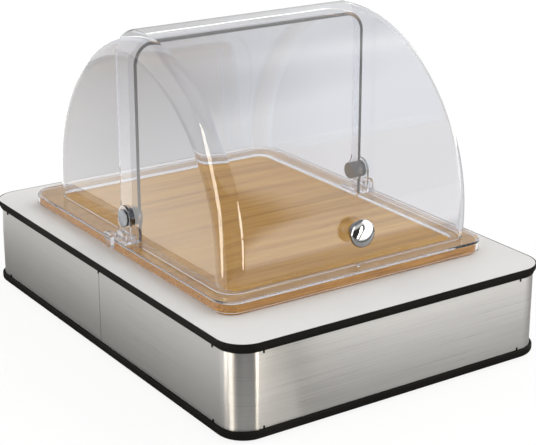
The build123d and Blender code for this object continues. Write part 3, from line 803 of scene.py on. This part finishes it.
def newRule(name, sizes):
    # a Geometry Nodes tree with its sizes as named inputs
    rule = bpy.data.node_groups.new(name, "GeometryNodeTree")
    rule.interface.new_socket("Geometry", in_out="INPUT", socket_type="NodeSocketGeometry")
    for label, value in sizes.items():
        kind = "NodeSocketInt" if isinstance(value, int) else "NodeSocketFloat"
        if isinstance(value, tuple):
            kind = "NodeSocketVector"
        rule.interface.new_socket(label, in_out="INPUT", socket_type=kind).default_value = value
    rule.interface.new_socket("Material", in_out="INPUT", socket_type="NodeSocketMaterial")
    rule.interface.new_socket("Geometry", in_out="OUTPUT", socket_type="NodeSocketGeometry")
    return rule, rule.nodes.new("NodeGroupInput").outputs


def closeRule(rule, shape, given):
    real = put(rule, "GeometryNodeRealizeInstances", {0: shape})
    coated = put(rule, "GeometryNodeSetMaterial", {"Geometry": real, "Material": given["Material"]})
    put(rule, "NodeGroupOutput", {0: coated})


def makeByRule(rule, line, closed, values, material):
    # draws a line, lets the rule turn it into a shape, and keeps the plain mesh
    count = len(line)
    edges = [(i, (i + 1) % count) for i in range(count if closed else count - 1)]
    mesh = bpy.data.meshes.new("line")
    mesh.from_pydata([(x * mm, y * mm, 0) for x, y in line], edges, [])
    maker = addObject("maker", mesh)
    modifier = maker.modifiers.new("rule", "NODES")
    modifier.node_group = rule
    for socket in rule.interface.items_tree:
        if socket.in_out == "INPUT" and socket.name in values:
            modifier[socket.identifier] = values[socket.name]
        elif socket.in_out == "INPUT" and socket.name == "Material":
            modifier[socket.identifier] = material
    made = finishedMesh(maker)
    maker.modifiers.remove(modifier)
    bpy.data.objects.remove(maker)
    shape = bmesh.new()
    shape.from_mesh(made)
    bmesh.ops.remove_doubles(shape, verts=shape.verts, dist=hair)
    bmesh.ops.recalc_face_normals(shape, faces=shape.faces)
    return shape


def lathe(rule, given):
    # sweeps the drawn line, radius across and height up, round a small circle
    ring = put(rule, "GeometryNodeCurvePrimitiveCircle", {
        "Resolution": given["Turn Steps"], "Radius": mm})
    section = put(rule, "GeometryNodeMeshToCurve", {0: given["Geometry"]})
    moved = put(rule, "GeometryNodeTransform", {"Geometry": section, "Translation": (-mm, 0, 0)})
    swept = put(rule, "GeometryNodeCurveToMesh", {"Curve": ring, "Profile Curve": moved})
    return put(rule, "GeometryNodeMergeByDistance", {"Geometry": swept, "Distance": hair})


def raised(rule, shape, height):
    rise = put(rule, "ShaderNodeCombineXYZ", {"Z": height})
    return put(rule, "GeometryNodeTransform", {"Geometry": shape, "Translation": rise})


def joined(rule, parts):
    whole = rule.nodes.new("GeometryNodeJoinGeometry")
    for part in parts:
        rule.links.new(outlet(part), whole.inputs[0])
    return whole


def turnedRule():
    rule, given = newRule("turned part", {"Turn Steps": 72, "Place": (0.0, 0.0, 0.0),
                                          "Turn": (0.0, 0.0, 0.0)})
    part = lathe(rule, given)
    part = put(rule, "GeometryNodeTransform", {
        "Geometry": part, "Translation": given["Place"], "Rotation": given["Turn"]})
    closeRule(rule, part, given)
    return rule


def cornerRule():
    # one turned part at each corner of the base, with a cross recess where asked
    rule, given = newRule("part at each corner", {
        "Turn Steps": 48, "Spacing X": 0.2, "Spacing Y": 0.2, "Height": 0.0,
        "Recess Length": 0.0, "Recess Width": 0.0, "Recess Depth": 0.0})
    part = lathe(rule, given)
    bars = []
    for sides in (("Recess Length", "Recess Width"), ("Recess Width", "Recess Length")):
        size = put(rule, "ShaderNodeCombineXYZ", {
            "X": given[sides[0]], "Y": given[sides[1]],
            "Z": arithmetic(rule, "MULTIPLY", given["Recess Depth"], 2.0)})
        bars.append(put(rule, "GeometryNodeMeshCube", {"Size": size}))
    cut = put(rule, "GeometryNodeMeshBoolean", {"Mesh 1": part}, operation="DIFFERENCE",
              solver="EXACT")
    for bar in bars:
        rule.links.new(bar.outputs["Mesh"], cut.inputs["Mesh 2"])
    asked = put(rule, "FunctionNodeCompare", {0: given["Recess Depth"], 1: 0.0},
                operation="GREATER_THAN")
    chosen = put(rule, "GeometryNodeSwitch", {"Switch": asked, "False": part, "True": cut})
    grid = put(rule, "GeometryNodeMeshGrid", {
        "Size X": given["Spacing X"], "Size Y": given["Spacing Y"],
        "Vertices X": 2, "Vertices Y": 2})
    copies = put(rule, "GeometryNodeInstanceOnPoints", {
        "Points": grid.outputs["Mesh"], "Instance": chosen})
    closeRule(rule, raised(rule, copies, given["Height"]), given)
    return rule


def trimRule():
    # sweeps a section round the base's outline and sets ticks that lap over the steel
    rule, given = newRule("trim round the base", {
        "Width": 0.322, "Depth": 0.44, "Corner": 0.025, "Corner Steps": 16,
        "Tick Radius": 0.0008, "Tick Length": 0.003, "Tick Height": 0.0,
        "Side Tick Spacing": (0.0, 0.0, 0.0), "End Tick Spacing": (0.0, 0.0, 0.0),
        "Seam Tick": (0.0, 0.0, 0.0)})
    outline = put(rule, "GeometryNodeCurvePrimitiveQuadrilateral", {
        "Width": given["Width"], "Height": given["Depth"]})
    path = put(rule, "GeometryNodeFilletCurve", {
        "Curve": outline, "Count": given["Corner Steps"], "Radius": given["Corner"]}, mode="POLY")
    section = put(rule, "GeometryNodeMeshToCurve", {0: given["Geometry"]})
    trim = put(rule, "GeometryNodeCurveToMesh", {"Curve": path, "Profile Curve": section})
    tick = put(rule, "GeometryNodeMeshCylinder", {
        "Vertices": 20, "Radius": given["Tick Radius"], "Depth": given["Tick Length"]})
    ticks = []
    for label in ("Side Tick Spacing", "End Tick Spacing"):
        spread = put(rule, "ShaderNodeSeparateXYZ", {0: given[label]})
        grid = put(rule, "GeometryNodeMeshGrid", {
            "Size X": spread.outputs["X"], "Size Y": spread.outputs["Y"],
            "Vertices X": 2, "Vertices Y": 2})
        ticks.append(put(rule, "GeometryNodeInstanceOnPoints", {
            "Points": grid.outputs["Mesh"], "Instance": tick.outputs["Mesh"]}))
    ticks.append(put(rule, "GeometryNodeTransform", {
        "Geometry": tick.outputs["Mesh"], "Translation": given["Seam Tick"]}))
    allTicks = raised(rule, joined(rule, ticks), given["Tick Height"])
    closeRule(rule, joined(rule, (trim, allTicks)), given)
    return rule


def bandRule():
    # sweeps a flat strip along the drawn path, standing up, its ends closed
    rule, given = newRule("strip round the base", {
        "Thickness": 0.001, "Strip Height": 0.07, "Height": 0.0})
    path = put(rule, "GeometryNodeMeshToCurve", {0: given["Geometry"]})
    section = put(rule, "GeometryNodeCurvePrimitiveQuadrilateral", {
        "Width": given["Thickness"], "Height": given["Strip Height"]})
    wrap = put(rule, "GeometryNodeCurveToMesh", {
        "Curve": path, "Profile Curve": section, "Fill Caps": True})
    closeRule(rule, raised(rule, wrap, given["Height"]), given)
    return rule


def arcPoints(centre, radius, start, end, steps=6):
    angles = [math.radians(start + (end - start) * i / steps) for i in range(steps + 1)]
    return [(centre[0] + radius * math.cos(angle), centre[1] + radius * math.sin(angle))
            for angle in angles]


base = {"width": 322.0, "depth": 440.0, "corner": 25.0, "seamY": 0.5}

# sections are drawn as distance in from the base's outline, and height
trims = {
    "cornerSteps": 18, "overhang": 2.6, "tickLength": 3.4,
    "tickSide": (316.8, 372.0), "tickEnd": (263.0, 434.8),
    "topTrim": {"node": "top_trim", "tickHeight": 74.9, "seamTickY": base["seamY"], "section": [
        (0.35, 83.7), (0.1, 83.63), (0.0, 83.4), (0.0, 80.2), (0.12, 79.5), (0.5, 78.7),
        (1.2, 77.5), (2.05, 75.4), (2.55, 75.4), (2.55, 77.0), (3.65, 77.0), (3.65, 70.2),
        (3.85, 70.0), (5.95, 70.0), (6.15, 70.2), (6.15, 77.3), (17.0, 77.3), (17.0, 79.7),
        (0.8, 79.7), (0.8, 83.7)]},
    "bottomTrim": {"node": "bottom_trim", "tickHeight": 9.8, "seamTickY": 186.0, "section": [
        *arcPoints((4.0, 5.2), 4.0, -90, -180), *arcPoints((1.5, 7.8), 1.5, 180, 90),
        (2.55, 9.3), (2.55, 5.8), (3.65, 5.8), (3.65, 11.8), (3.85, 12.0), (6.8, 12.0),
        (7.0, 11.8), (7.0, 4.2), (17.0, 4.2), (17.0, 1.2)]},
}


def inMetres(values):
    return tuple(v * mm for v in values)


def trimPiece(name, rule, values, common):
    line = [(-inset, -height) for inset, height in values["section"]]
    seamX = -(base["width"] / 2 - common["overhang"])
    shape = makeByRule(rule, line, True, {
        "Width": base["width"] * mm, "Depth": base["depth"] * mm, "Corner": base["corner"] * mm,
        "Corner Steps": common["cornerSteps"], "Tick Length": common["tickLength"] * mm,
        "Tick Height": values["tickHeight"] * mm,
        "Side Tick Spacing": inMetres((*common["tickSide"], 0.0)),
        "End Tick Spacing": inMetres((*common["tickEnd"], 0.0)),
        "Seam Tick": inMetres((seamX, values["seamTickY"], 0.0))}, blackTrim)
    meshPiece(name, shape, blackTrim, "base", values["node"], sharp=40)


roundTheBase, atEachCorner, turned = trimRule(), cornerRule(), turnedRule()
for name in ("topTrim", "bottomTrim"):
    trimPiece(name, roundTheBase, trims[name], trims)

steelWrap = {"inset": 3.1, "thickness": 1.0, "low": 5.8, "high": 77.0, "seam": 0.6,
             "cornerSteps": 20}


def wrapPath(values):
    # the outline opened at the seam on the left side
    halfX, halfY = (base[side] / 2 - values["inset"] for side in ("width", "depth"))
    outline = roundedOutline(halfX, halfY, base["corner"] - values["inset"],
                             values["cornerSteps"])
    startOnLeft = 3 * (values["cornerSteps"] + 1)
    ends = [(-halfX, base["seamY"] + gap) for gap in (-values["seam"] / 2, values["seam"] / 2)]
    return [ends[0]] + outline[startOnLeft:] + outline[:startOnLeft] + [ends[1]]


wrap = makeByRule(bandRule(), wrapPath(steelWrap), False, {
    "Thickness": steelWrap["thickness"] * mm,
    "Strip Height": (steelWrap["high"] - steelWrap["low"]) * mm,
    "Height": (steelWrap["high"] + steelWrap["low"]) / 2 * mm}, steel)
meshPiece("steelWrap", wrap, steel, "base", "steel_band", sharp=30)

# outlines are drawn as radius and height
feet = {"spacing": (256.0, 374.0), "line": [
    (0.0, 0.0), (4.6, 0.0), (4.8, 0.35), (5.6, 0.35), (5.8, 0.0),
    *arcPoints((8.4, 0.6), 0.6, -90, 0), (9.0, 4.2), (0.0, 4.2)]}
screws = {
    "spacing": (290.385, 408.385), "height": 1.2, "recess": (3.6, 0.9, 1.3),
    "line": [(0.0, 0.0), (3.0, 0.0), (3.2, 0.12), (1.6, 1.7), (1.6, 20.0), (1.1, 21.7),
             (0.0, 21.7)],
}


def cornerPieces(values, material):
    spacing, recess = inMetres(values["spacing"]), inMetres(values.get("recess", (0, 0, 0)))
    return makeByRule(atEachCorner, [(x, -z) for x, z in values["line"]], False, {
        "Spacing X": spacing[0], "Spacing Y": spacing[1], "Height": values.get("height", 0.0) * mm,
        "Recess Length": recess[0], "Recess Width": recess[1], "Recess Depth": recess[2]}, material)


meshPiece("rubberFeet", cornerPieces(feet, rubber), rubber, "base", "rubber_feet")
meshPiece("baseScrews", cornerPieces(screws, screwSteel), screwSteel, "base", "base_screws")
print("base pieces made")

# turned parts of the pivots: radius and distance along the axis
pivotParts = {
    "OuterCap": {"node": "outer_cap", "line": [
        (0.0, 131.0), (3.5, 130.98), (6.6, 130.9), *arcPoints((7.3, 130.3), 0.6, 80, 0),
        (7.9, 129.75), (7.75, 129.6), (3.05, 129.6), (3.05, 130.6), (0.0, 130.6)]},
    "InnerCap": {"node": "inner_cap", "line": [
        (0.0, 112.8), (3.5, 112.82), (6.6, 112.9), *arcPoints((7.3, 113.5), 0.6, -80, 0),
        (7.9, 115.65), (7.75, 115.8), (3.05, 115.8), (3.05, 114.8), (0.0, 114.8)]},
    "Spacer": {"node": "spacer", "line": [
        (3.05, 118.8), (7.75, 118.8), (7.9, 118.95), (7.9, 123.65), (7.75, 123.8),
        (3.05, 123.8), (3.05, 118.8)]},
    "PivotWasher": {"node": "pivot_washer", "finish": washerDark, "slot": "washer_black", "line": [
        (3.05, 127.2), (6.9, 127.2), (7.0, 127.28), (7.0, 127.52), (6.9, 127.6), (3.05, 127.6),
        (3.05, 127.2)]},
}


def turnedShape(line, steps, turn, material):
    return makeByRule(turned, [(radius, -along) for radius, along in line], False,
                      {"Turn Steps": steps, "Place": tuple(pivot), "Turn": turn}, material)


roundSteps = 72
for side, sign in (("left", -1), ("right", 1)):
    for label, part in pivotParts.items():
        finish = part.get("finish", satinCap)
        sideways = (0.0, sign * math.pi / 2, 0.0)
        shape = turnedShape(part["line"], roundSteps, sideways, finish)
        meshPiece(side + label, shape, finish, "cover", side + "_" + part["node"])

# the knob stands out along the screw's line; all distances are from the pivots' axis
knobLook = {
    "bore": 2.05, "boreEnd": 171.8, "foot": 162.8, "footRadius": 8.0,
    "neck": (8.2, 163.0), "flareEnd": 170.6, "flarePower": 1.9, "flareSteps": 12,
    "radius": 12.0, "widest": 171.4, "crown": 4.7, "crownPower": 0.82, "crownSteps": 20,
    "turnSteps": 96,
}


def knobLine(values):
    neckRadius, neckOut = values["neck"]
    radius = values["radius"]
    line = [(0.0, values["boreEnd"]), (values["bore"], values["boreEnd"]),
            (values["bore"], values["foot"]), (values["footRadius"], values["foot"]),
            values["neck"]]
    for i in range(1, values["flareSteps"] + 1):
        t = i / values["flareSteps"]
        line.append((neckRadius + (radius - neckRadius) * t ** values["flarePower"],
                     neckOut + (values["flareEnd"] - neckOut) * t))
    line.append((radius, values["widest"]))
    for i in range(1, values["crownSteps"] + 1):
        turn = math.pi / 2 * i / values["crownSteps"]
        line.append((radius * math.cos(turn) ** values["crownPower"],
                     values["widest"] + values["crown"] * math.sin(turn)))
    return line


knobTurn = (math.radians(shells["screwHole"]["rise"]), 0.0, 0.0)
knobShape = turnedShape(knobLine(knobLook), knobLook["turnSteps"], knobTurn, knobChrome)
meshPiece("lidKnob", knobShape, knobChrome, "lid", "knob")
print("pivots and knob made")

bounces = {"transmission_bounces": 16, "max_bounces": 16, "glossy_bounces": 8,
           "transparent_max_bounces": 24}
for limit, count in bounces.items():
    setattr(bpy.context.scene.cycles, limit, count)
